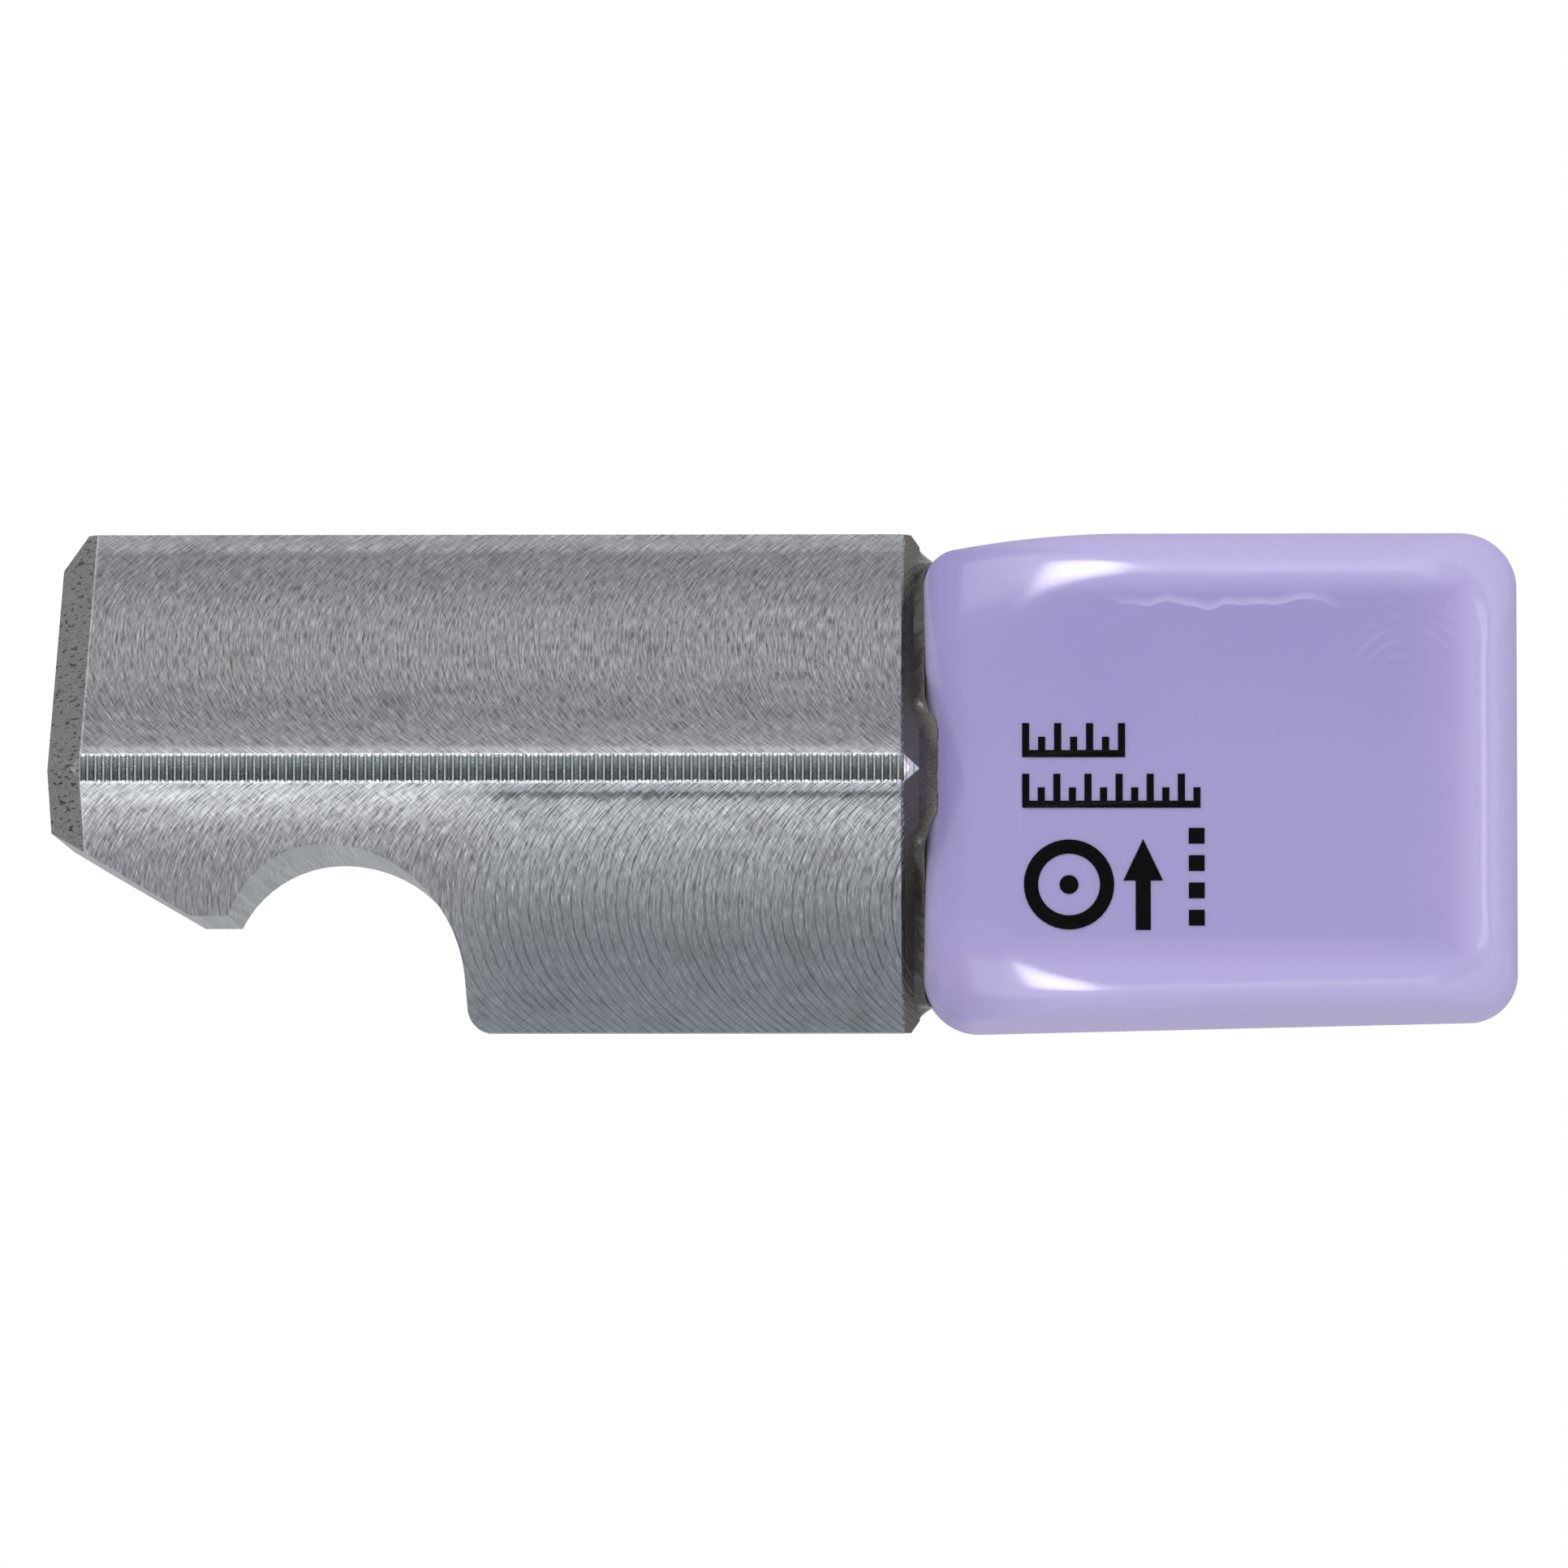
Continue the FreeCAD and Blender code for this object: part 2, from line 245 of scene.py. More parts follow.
def steelPlaces(tree):
    # Where a point is on the mandrel: along X, above or below the ridge line, and on which flat
    inMm = placeInMm(tree)
    place = addNode(tree, "SeparateXYZ", {0: inMm})
    height = calculate(tree, "SUBTRACT", place.outputs["Z"], axisHeight)
    rise = calculate(tree, "ABSOLUTE", height)
    isUpper = calculate(tree, "GREATER_THAN", height, 0.0)
    side = calculate(tree, "SIGN", place.outputs["Y"])
    # Each of the four flats has its grain from a layer of its own
    layer = calculate(tree, "MULTIPLY_ADD", side, 7.0, isUpper)
    return {"mm": inMm, "x": place.outputs["X"], "height": height, "rise": rise, "isUpper": isUpper,
            "layer": layer}


def cutterFlecks(tree, at):
    # Cutter arcs open to the right, and fainter ones from the cutter's trailing edge open to the left.
    # Both follow x plus or minus the root of the cutter's radius squared less the square of the distance
    # from the flat's middle.
    offMiddle = calculate(tree, "MULTIPLY_ADD", at["rise"], math.sqrt(2), -steel["faceMiddle"])
    squared = calculate(tree, "MULTIPLY", offMiddle, offMiddle)
    bow = calculate(tree, "SUBTRACT", steel["cutterRadius"] ** 2, squared)
    bow = calculate(tree, "POWER", bow, 0.5)
    wander = addNode(tree, "TexNoise", {"Vector": at["mm"], "Scale": 0.3, "Detail": 2.0})
    flecks = []
    for arc, shift in (("SUBTRACT", 40.0), ("ADD", 0.0)):
        phase = calculate(tree, arc, at["x"], bow)
        phase = calculate(tree, "MULTIPLY_ADD", wander, steel["wander"], phase)
        across = calculate(tree, "MULTIPLY", phase, 1 / steel["fleckWidth"])
        along = calculate(tree, "MULTIPLY_ADD", offMiddle, 1 / steel["fleckLength"], shift)
        grain = addNode(tree, "CombineXYZ", {0: across, 1: along, 2: at["layer"]})
        flecks.append(addNode(tree, "TexNoise", {"Vector": grain, "Scale": 1.0, "Detail": 2.0,
                                                 "Roughness": 0.7}))
    trailing, leading = flecks
    both = calculate(tree, "MULTIPLY_ADD", trailing, steel["trailingShare"], leading)
    return leading, both, cutterGroove(tree, at, phase, offMiddle)


def cutterGroove(tree, at, phase, offMiddle):
    # Deep thin lines along the leading arcs, one for each feed step, clearest on the lower flats towards
    # the block
    step = calculate(tree, "MULTIPLY", phase, 1 / steel["feed"])
    jitterPlace = addNode(tree, "CombineXYZ", {0: step, 1: offMiddle, 2: at["layer"]})
    jitter = addNode(tree, "TexNoise", {"Vector": jitterPlace, "Scale": 0.8, "Detail": 3.0})
    step = calculate(tree, "MULTIPLY_ADD", jitter, 0.45, step)
    tooth = calculate(tree, "PINGPONG", step, 0.5)
    groove = addNode(tree, "MapRange", {"Value": tooth, "From Min": 0.02, "From Max": 0.13,
                                        "To Min": 1.0, "To Max": 0.0}, interpolation_type="SMOOTHSTEP")
    clearness = addNode(tree, "MapRange", {"Value": at["x"], "From Min": -11.0, "From Max": -5.0,
                                           "To Min": 0.5, "To Max": 1.0})
    clearness = addNode(tree, "MapRange", {"Value": at["isUpper"], "To Min": clearness, "To Max": 0.4})
    broken = addNode(tree, "MapRange", {"Value": jitter, "From Min": 0.35, "From Max": 0.65,
                                        "To Min": 0.6, "To Max": 1.15})
    for factor in (clearness, broken):
        groove = calculate(tree, "MULTIPLY", groove, factor)
    return groove


def flatPaintedLight(tree, at):
    # Painted light and shade of the flats by the distance from the ridge line, with a jagged edge to the
    # bands by the ribs
    jagPlace = addNode(tree, "CombineXYZ", {0: at["x"], 1: at["layer"]})
    jag = addNode(tree, "TexNoise", {"Vector": jagPlace, "Scale": 5.0, "Detail": 3.0, "Roughness": 0.6},
                  noise_dimensions="2D")
    jagged = calculate(tree, "MULTIPLY_ADD", jag, steel["jag"], at["rise"])
    share = addNode(tree, "MapRange", {"Value": jagged, "From Min": steel["jag"] / 2,
                                       "From Max": steel["jag"] / 2 + axisHeight})
    litShades = []
    for stops in (steel["lowerRightPaintedLight"], steel["lowerLeftPaintedLight"], steel["upperPaintedLight"]):
        shade = addNode(tree, "ValToRGB", {0: share})
        elements = shade.color_ramp.elements
        elements[0].position, elements[0].color = stops[0][0] / axisHeight, hexColour(stops[0][1])
        elements[1].position, elements[1].color = 1.0, hexColour(stops[-1][1])
        for reach, code in stops[1:-1]:
            elements.new(reach / axisHeight).color = hexColour(code)
        litShades.append(shade)
    toEnd = addNode(tree, "MapRange", {"Value": at["x"], "From Min": -6.6, "From Max": -9.0},
                    interpolation_type="SMOOTHSTEP")
    lower = mixColours(tree, toEnd, litShades[0], litShades[1])
    return mixColours(tree, at["isUpper"], lower, litShades[2])


def flatsColour(tree, at, leading, both, groove):
    # Flecks and lines lighten and darken the painted light and shade, most strongly just under the ribs
    lowerContrast = addNode(tree, "MapRange", {"Value": at["rise"], "From Min": 1.0, "From Max": 4.0,
                                               "To Min": 3.4, "To Max": 1.4})
    contrast = addNode(tree, "MapRange", {"Value": at["isUpper"], "To Min": lowerContrast, "To Max": 2.7})
    centred = calculate(tree, "SUBTRACT", both, 0.74)
    tone = calculate(tree, "MULTIPLY_ADD", centred, contrast, 1.0)
    tone = calculate(tree, "MAXIMUM", tone, 0.35)
    darkLine = addNode(tree, "MapRange", {"Value": groove, "To Min": 1.03, "To Max": 0.62})
    tone = calculate(tree, "MULTIPLY", tone, darkLine)
    flats = mixColours(tree, 1.0, flatPaintedLight(tree, at), tone, "MULTIPLY")

    # Brown stains in patches, and painted glints: bright flecks under the ribs
    patch = addNode(tree, "TexNoise", {"Vector": at["mm"], "Scale": 0.75, "Detail": 4.0})
    stained = addNode(tree, "MapRange", {"Value": patch, "From Min": 0.54, "From Max": 0.74, "To Max": 0.22})
    flats = mixColours(tree, stained, flats, hexColour(steel["stain"]), "MULTIPLY")
    glints = addNode(tree, "MapRange", {"Value": leading, "From Min": 0.64, "From Max": 0.74})
    glintShare = addNode(tree, "MapRange", {"Value": at["height"], "From Min": -4.5, "From Max": -0.4,
                                           "To Min": 0.15, "To Max": 0.8})
    glintShare = addNode(tree, "MapRange", {"Value": at["isUpper"], "To Min": glintShare, "To Max": 0.15})
    glints = calculate(tree, "MULTIPLY", glints, glintShare)
    return mixColours(tree, glints, flats, hexColour(steel["burrGlint"]))


def feedRibs(tree, at, mottle, isSeat):
    # Feed ribs: painted shade in the hollows, darker below and lighter at the top, each a little different,
    # between thin light ridges
    ribStep = calculate(tree, "MULTIPLY_ADD", at["x"], 1 / steel["ribPitch"],
                        -steel["ribStart"] / steel["ribPitch"])
    offRidge = calculate(tree, "PINGPONG", ribStep, 0.5)
    inHollow = addNode(tree, "MapRange", {"Value": offRidge, "From Min": 0.04, "From Max": 0.16},
                       interpolation_type="SMOOTHSTEP")
    ribNumber = calculate(tree, "FLOOR", ribStep)
    ribChance = addNode(tree, "TexWhiteNoise", {"W": ribNumber}, noise_dimensions="1D")
    hollowLight = addNode(tree, "MapRange", {"Value": at["height"], "From Min": -0.16, "From Max": 0.33,
                                             "To Max": 0.9}, interpolation_type="SMOOTHSTEP")
    hollowLight = calculate(tree, "MULTIPLY_ADD", ribChance, 0.22, hollowLight)
    hollowLight = calculate(tree, "MULTIPLY_ADD", mottle, 0.9, hollowLight)
    hollowLight = calculate(tree, "SUBTRACT", hollowLight, 0.4, use_clamp=True)
    hollow = mixColours(tree, hollowLight, hexColour(steel["ribHollowShade"]), hexColour(steel["ribHollowLitTop"]))
    ribs = mixColours(tree, inHollow, hexColour(steel["ribRidge"]), hollow)
    # The last facet, on the seat's chamfer, is light and runs to a point
    tip = mixColours(tree, inHollow, hexColour(steel["tipHollow"]), hexColour(steel["burrGlint"]))
    ribs = mixColours(tree, isSeat, ribs, tip)
    pastEnd = calculate(tree, "SUBTRACT", at["x"], steel["ribEnd"])
    pastEnd = calculate(tree, "MULTIPLY", pastEnd, 0.9, use_clamp=True)
    narrowed = calculate(tree, "ADD", at["rise"], pastEnd)
    isRidge = calculate(tree, "LESS_THAN", narrowed, steel["ribHalfHeight"])
    return ribs, isRidge, offRidge


def ribBurrGlint(tree, at, offRidge, chip):
    # A painted glint on the burr along both edges of the ribs, broken up and arched over each hollow
    arch = calculate(tree, "MULTIPLY_ADD", offRidge, 0.05, at["rise"])
    offEdge = calculate(tree, "SUBTRACT", arch, steel["ribHalfHeight"] + 0.012)
    offEdge = calculate(tree, "ABSOLUTE", offEdge)
    burrGlint = addNode(tree, "MapRange", {"Value": offEdge, "From Min": 0.02, "From Max": 0.05,
                                      "To Min": 1.0, "To Max": 0.0}, interpolation_type="SMOOTHSTEP")
    return calculate(tree, "MULTIPLY", burrGlint, chip)


def chamferColours(tree, at, mottle, pits):
    # The free end's chamfer is grey and pitted, and the seat's is dark and smeared with glue
    aloft = addNode(tree, "MapRange", {"Value": at["height"], "From Min": -1.8, "From Max": 1.0})
    end = mixColours(tree, aloft, hexColour(steel["endChamferLow"]), hexColour(steel["endChamfer"]))
    tone = addNode(tree, "MapRange", {"Value": mottle, "From Min": 0.3, "From Max": 0.7,
                                      "To Min": 0.6, "To Max": 1.42})
    end = mixColours(tree, 1.0, end, tone, "MULTIPLY")
    end = mixColours(tree, pits, end, hexColour(steel["pit"]))
    seat = mixColours(tree, 1.0, hexColour(steel["seatChamfer"]), tone, "MULTIPLY")
    return end, seat


def cutColour(tree, at):
    # The slotted faces have long fine streaks
    streakPlace = addNode(tree, "Mapping", {"Vector": at["mm"], "Scale": (8.0, 0.6, 8.0)})
    streaks = addNode(tree, "TexNoise", {"Vector": streakPlace, "Scale": 1.0, "Detail": 3.0})
    tone = addNode(tree, "MapRange", {"Value": streaks, "From Min": 0.3, "From Max": 0.7,
                                      "To Min": 0.84, "To Max": 1.14})
    return mixColours(tree, 1.0, hexColour(steel["cutFace"]), tone, "MULTIPLY")


def steelMaterial():
    # Free-cutting steel, face-milled. Arcs of cutter lines break the light into short flecks, the flats carry
    # painted light and shade, the feed ribs have painted shade in their hollows and painted glints on their
    # burrs, and the slotted faces are smoother and bluer.
    material, tree = newMaterial("steel face-milled")
    at = steelPlaces(tree)
    mottle = addNode(tree, "TexNoise", {"Vector": at["mm"], "Scale": 14.0, "Detail": 3.0, "Roughness": 0.7})
    chip = addNode(tree, "MapRange", {"Value": mottle, "From Min": 0.38, "From Max": 0.62,
                                      "To Min": 0.05, "To Max": 1.0})
    pitPlace = addNode(tree, "Mapping", {"Vector": at["mm"], "Rotation": (0.0, math.radians(38), 0.0),
                                         "Scale": (3.2, 3.2, 12.0)})
    pitGrain = addNode(tree, "TexNoise", {"Vector": pitPlace, "Scale": 1.0, "Detail": 2.0})
    pits = addNode(tree, "MapRange", {"Value": pitGrain, "From Min": 0.585, "From Max": 0.64})

    # The kinds of face: cut ones look along X or Z, and the end's and the seat's chamfers lie past the ribs
    surface = addNode(tree, "TexCoord")
    facing = addNode(tree, "SeparateXYZ", {0: surface.outputs["Normal"]})
    absY = calculate(tree, "ABSOLUTE", facing.outputs["Y"])
    isCut = calculate(tree, "LESS_THAN", absY, 0.35)
    isEnd = calculate(tree, "LESS_THAN", at["x"], steel["ribStart"])
    isSeat = calculate(tree, "GREATER_THAN", at["x"], steel["ribEnd"])
    leading, both, groove = cutterFlecks(tree, at)
    ribs, isRidge, offRidge = feedRibs(tree, at, mottle, isSeat)
    endChamfer, seatChamfer = chamferColours(tree, at, mottle, pits)

    # A painted highlight, a light line, where the end's chamfer meets the flats, and a torn edge where the
    # seat's does
    endEdgeHighlight = addNode(tree, "MapRange", {"Value": at["x"], "From Min": steel["ribStart"] + 0.03,
                                         "From Max": steel["ribStart"] + 0.07, "To Min": 0.7, "To Max": 0.0})
    endEdgeHighlight = calculate(tree, "MULTIPLY", endEdgeHighlight, chip)
    tornEdge = calculate(tree, "MULTIPLY_ADD", mottle, 0.4, at["x"])
    isTorn = addNode(tree, "MapRange", {"Value": tornEdge, "From Min": steel["ribEnd"] + 0.16,
                                        "From Max": steel["ribEnd"] + 0.18})
    onRidge = calculate(tree, "SUBTRACT", isRidge, isEnd, use_clamp=True)
    pastFlats = calculate(tree, "MAXIMUM", isEnd, isSeat)
    burrGlint = calculate(tree, "SUBTRACT", ribBurrGlint(tree, at, offRidge, chip), pastFlats, use_clamp=True)

    # Each kind of face laid over the flats in turn
    colour = flatsColour(tree, at, leading, both, groove)
    for mask, shade in ((endEdgeHighlight, hexColour(steel["endEdgeHighlight"])), (isTorn, seatChamfer),
                        (isEnd, endChamfer), (isSeat, seatChamfer), (onRidge, ribs),
                        (burrGlint, hexColour(steel["burrGlint"])), (isCut, cutColour(tree, at))):
        colour = mixColours(tree, mask, colour, shade)

    # Relief of the lines on the flats, and of the grain elsewhere
    notFlat = isCut
    for kind in (isRidge, isEnd):
        notFlat = calculate(tree, "MAXIMUM", notFlat, kind)
    lines = calculate(tree, "MULTIPLY_ADD", groove, -0.8, both)
    chamferPits = calculate(tree, "SUBTRACT", pits, isCut, use_clamp=True)
    dents = calculate(tree, "MULTIPLY_ADD", chamferPits, -0.6, mottle)
    relief = addNode(tree, "MapRange", {"Value": notFlat, "To Min": lines, "To Max": dents})
    bump = addNode(tree, "Bump", {"Height": relief, "Strength": 0.6, "Distance": 0.02 * mm})
    roughness = addNode(tree, "MapRange", {"Value": leading, "From Min": 0.3, "From Max": 0.7,
                                           "To Min": 0.42, "To Max": 0.28})
    # The glue smeared on the seat's chamfer hides much of its metal
    metal = addNode(tree, "MapRange", {"Value": isSeat, "To Min": 1.0, "To Max": 0.35})
    shader = addNode(tree, "BsdfPrincipled", {"Base Color": colour, "Metallic": metal,
                                              "Roughness": roughness, "Normal": bump})
    addNode(tree, "OutputMaterial", {"Surface": shader})
    return material


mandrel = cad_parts["mandrel"]
mandrel.data.materials.clear()
mandrel.data.materials.append(steelMaterial())
print("mandrel has its steel")


block = {
    "left": 3.5, "right": 18.6, "bottom": 0.03, "top": 12.565, "halfDepth": 5.2,
    # mm, the radii of the corners at the side walls, and round the panel
    "cornerRound": {"glueBottom": 1.4, "freeBottom": 0.85, "freeTop": 1.45, "glueTop": 0.7},
    "panelRound": {"glueBottom": 3.7, "freeBottom": 1.9, "freeTop": 2.2, "glueTop": 4.4},
    "draft": 0.004,          # the sides fall away from mid depth by this times the depth squared
    # mm that the rounded edge and the slope down to the panel reach in: left, right, bottom, top
    "edgeReach": (2.1, 1.15, 0.85, 1.3),
    "slopeReach": (0.5, 0.9, 1.0, 0.9),
    "edgeDepth": 1.35,       # mm of the block's depth that the rounded edge takes
    "panelSink": 0.07,       # mm from the crest down to the panel's rim
    "dish": 0.03,            # mm from there down to the panel's middle
    "crownDrop": 0.57,       # mm that the top falls towards the glue
    "crownReach": 5.2,       # mm from the glue end, where it begins to fall
    "freeLift": 0.35,        # mm that the underside rises towards the free end
    "sideSteps": 56, "cornerSteps": 24,
    "wallSteps": 10, "edgeSteps": 26, "slopeSteps": 16, "floorSteps": 24,
    "floorSpacing": 0.8,     # power that spaces the panel's rows: below 1 they are wider apart at its rim
}


def blockOutline(inset, rounding):
    # Each row is a rounded rectangle: straight sides joined by quarter circles. inset moves the left,
    # right, bottom and top sides in, and rounding gives the four corner radii, both per row.
    toLeft, toRight, toBottom, toTop = (inset[:, i:i + 1] for i in range(4))
    left, right = block["left"] + toLeft, block["right"] - toRight
    bottom, top = block["bottom"] + toBottom, block["top"] - toTop
    along = np.linspace(0, 1, block["sideSteps"], endpoint=False)[None, :]
    turn = np.linspace(0, np.pi / 2, block["cornerSteps"], endpoint=False)[None, :]
    glueBottom, freeBottom, freeTop, glueTop = (rounding[:, i:i + 1] for i in range(4))
    parts = []
    # The underside from left to right, then each corner and side in turn, as seen from the front
    for start, end, centre, radius, first in (
        ((left + glueBottom, bottom), (right - freeBottom, bottom),
         (right - freeBottom, bottom + freeBottom), freeBottom, -np.pi / 2),
        ((right, bottom + freeBottom), (right, top - freeTop),
         (right - freeTop, top - freeTop), freeTop, 0.0),
        ((right - freeTop, top), (left + glueTop, top),
         (left + glueTop, top - glueTop), glueTop, np.pi / 2),
        ((left, top - glueTop), (left, bottom + glueBottom),
         (left + glueBottom, bottom + glueBottom), glueBottom, np.pi),
    ):
        parts.append(np.stack([start[0] + (end[0] - start[0]) * along,
                               start[1] + (end[1] - start[1]) * along], axis=-1))
        parts.append(np.stack([centre[0] + radius * np.cos(first + turn),
                               centre[1] + radius * np.sin(first + turn)], axis=-1))
    return np.concatenate(parts, axis=1)


def bendOutline(outline):
    # The top follows a crown, level and then falling as the square of the distance left of its reach,
    # and the underside rises evenly. Points between share both in proportion to their height.
    x, z = outline[..., 0], outline[..., 1]
    share = (z - block["bottom"]) / (block["top"] - block["bottom"])
    toGlue = np.clip((block["left"] + block["crownReach"] - x) / block["crownReach"], 0, 1)
    lift = block["freeLift"] * (x - block["left"]) / (block["right"] - block["left"])
    z = z - share * block["crownDrop"] * toGlue ** 2 + (1 - share) * lift
    return np.stack([x, z], axis=-1)


def blockFront():
    # Rows from the middle of the side walls to the middle of the front. The walls draw in with the square
    # of their depth. The edge is a quarter ellipse: its depth and its corner radii grow as the sine, and
    # its reach as one less the cosine. Half a cosine wave goes down to the panel, and the panel is dished
    # as a parabola that is deepest in its middle.
    edge, slope = np.array(block["edgeReach"]), np.array(block["slopeReach"])
    outer = np.array(list(block["cornerRound"].values()))
    inner = np.array(list(block["panelRound"].values()))
    crest = block["halfDepth"]
    shoulder = crest - block["edgeDepth"]

    wall = np.linspace(0, 1, block["wallSteps"], endpoint=False)[:, None]
    turn = np.linspace(0, np.pi / 2, block["edgeSteps"], endpoint=False)[:, None]
    fall = np.linspace(0, 1, block["slopeSteps"], endpoint=False)[:, None]
    shrink = np.linspace(0, 1, block["floorSteps"])[:-1, None] ** block["floorSpacing"]

    wallDepth, edgeDepth = shoulder * wall, shoulder + block["edgeDepth"] * np.sin(turn)
    opened = 1 - np.cos(turn)
    crestInset = edge + block["draft"] * crest ** 2
    inset = np.concatenate([block["draft"] * wallDepth ** 2 + 0 * edge,
                            block["draft"] * edgeDepth ** 2 + edge * opened,
                            crestInset + slope * fall])
    depth = np.concatenate([wallDepth, edgeDepth,
                            crest - block["panelSink"] * (0.5 - 0.5 * np.cos(np.pi * fall))])
    growth = np.concatenate([0 * wall, np.sin(turn), 0 * fall + 1])
    rounding = outer + (inner - outer) * growth

    # Inside the panel the outline shrinks evenly onto its middle
    rim = blockOutline((crestInset + slope)[None, :], inner[None, :])
    middle = rim.mean(axis=1, keepdims=True)
    panel = middle + (rim - middle) * (1 - shrink[:, :, None])
    panelDepth = crest - block["panelSink"] - block["dish"] * (1 - (1 - shrink) ** 2)

    outline = bendOutline(np.concatenate([blockOutline(inset, rounding), panel]))
    depth = np.broadcast_to(np.concatenate([depth, panelDepth]), outline.shape[:2])
    return np.stack([outline[..., 0], -depth, outline[..., 1]], axis=-1)


def buildBlock():
    # The back mirrors the front, and the two meet in the middle of the side walls
    front = blockFront()
    back = front[:0:-1] * np.array([1, -1, 1])
    return gridMesh("glassCeramicBlock", np.concatenate([back, front]), around=True, poleStart=True,
                    poleEnd=True)


ceramic = {
    # The edge colour is painted light on the rims
    "panel": "#A298CE", "panelTopShade": "#9B91C9", "edge": "#C0B6E7", "pink": "#B5A0D2", "glueAndContactShade": "#756B84",
    "creaseGlint": "#C9C0EC",
    "creaseHeight": 10.62,                # mm, a faint wavy crease at the foot of the top rim
    "creaseWave": 0.8,                    # mm that it waves at most
    "creaseFrom": 7.9, "creaseTo": 14.2,
    "rippleMiddle": (15.7, 0.0, 8.5),     # mm, round which the panel ripples at the top of its free end
    "ripplePitch": 0.33,
    "rippleFade": (1.5, 2.4),             # mm from their middle, where they begin to fade and are gone
}


def panelMarks(tree, inMm, at, absY):
    # A wavy crease and faint ripples, on the front and the back alike, each a painted highlight as well as a
    # little relief. The ripples are a sine of the distance from their middle.
    onPanel = calculate(tree, "GREATER_THAN", absY, 0.9)
    wavePlace = addNode(tree, "CombineXYZ", {0: at.outputs["X"]})
    wave = addNode(tree, "TexNoise", {"Vector": wavePlace, "Scale": 0.8, "Detail": 1.0})
    line = calculate(tree, "MULTIPLY_ADD", wave, ceramic["creaseWave"], at.outputs["Z"])
    line = calculate(tree, "SUBTRACT", line, ceramic["creaseHeight"] + ceramic["creaseWave"] / 2)
    # It is sharp below and fades out above
    foot = addNode(tree, "MapRange", {"Value": line, "From Min": -0.04, "From Max": 0.01, "To Max": 0.5},
                   interpolation_type="SMOOTHSTEP")
    fade = addNode(tree, "MapRange", {"Value": line, "From Min": 0.02, "From Max": 0.26,
                                      "To Min": 1.0, "To Max": 0.0}, interpolation_type="SMOOTHSTEP")
    start = addNode(tree, "MapRange", {"Value": at.outputs["X"], "From Min": ceramic["creaseFrom"],
                                       "From Max": ceramic["creaseFrom"] + 1.5})
    stop = addNode(tree, "MapRange", {"Value": at.outputs["X"], "From Min": ceramic["creaseTo"],
                                      "From Max": ceramic["creaseTo"] - 1.0})
    line = foot
    for factor in (fade, start, stop):
        line = calculate(tree, "MULTIPLY", line, factor)
    flatPlace = addNode(tree, "VectorMath", {0: inMm, 1: (1.0, 0.0, 1.0)}, operation="MULTIPLY")
    radius = addNode(tree, "VectorMath", {0: flatPlace, 1: ceramic["rippleMiddle"]}, operation="DISTANCE")
    ring = calculate(tree, "MULTIPLY", radius, 2 * math.pi / ceramic["ripplePitch"])
    ring = calculate(tree, "MULTIPLY_ADD", wave, 9.0, ring)
    ring = calculate(tree, "SINE", ring)
    near = addNode(tree, "MapRange", {"Value": radius, "From Min": ceramic["rippleFade"][1],
                                      "From Max": ceramic["rippleFade"][0]})
    above = addNode(tree, "MapRange", {"Value": at.outputs["Z"],
                                       "From Min": 8.8, "From Max": 9.8, "To Max": 0.3})
    patchy = addNode(tree, "TexNoise", {"Vector": inMm, "Scale": 0.8, "Detail": 1.0})
    patchy = addNode(tree, "MapRange", {"Value": patchy, "From Min": 0.4, "From Max": 0.6})
    for factor in (near, patchy, above, 0.6):
        ring = calculate(tree, "MULTIPLY", ring, factor, use_clamp=True)
    marks = calculate(tree, "MAXIMUM", line, ring)
    return calculate(tree, "MULTIPLY", marks, onPanel)


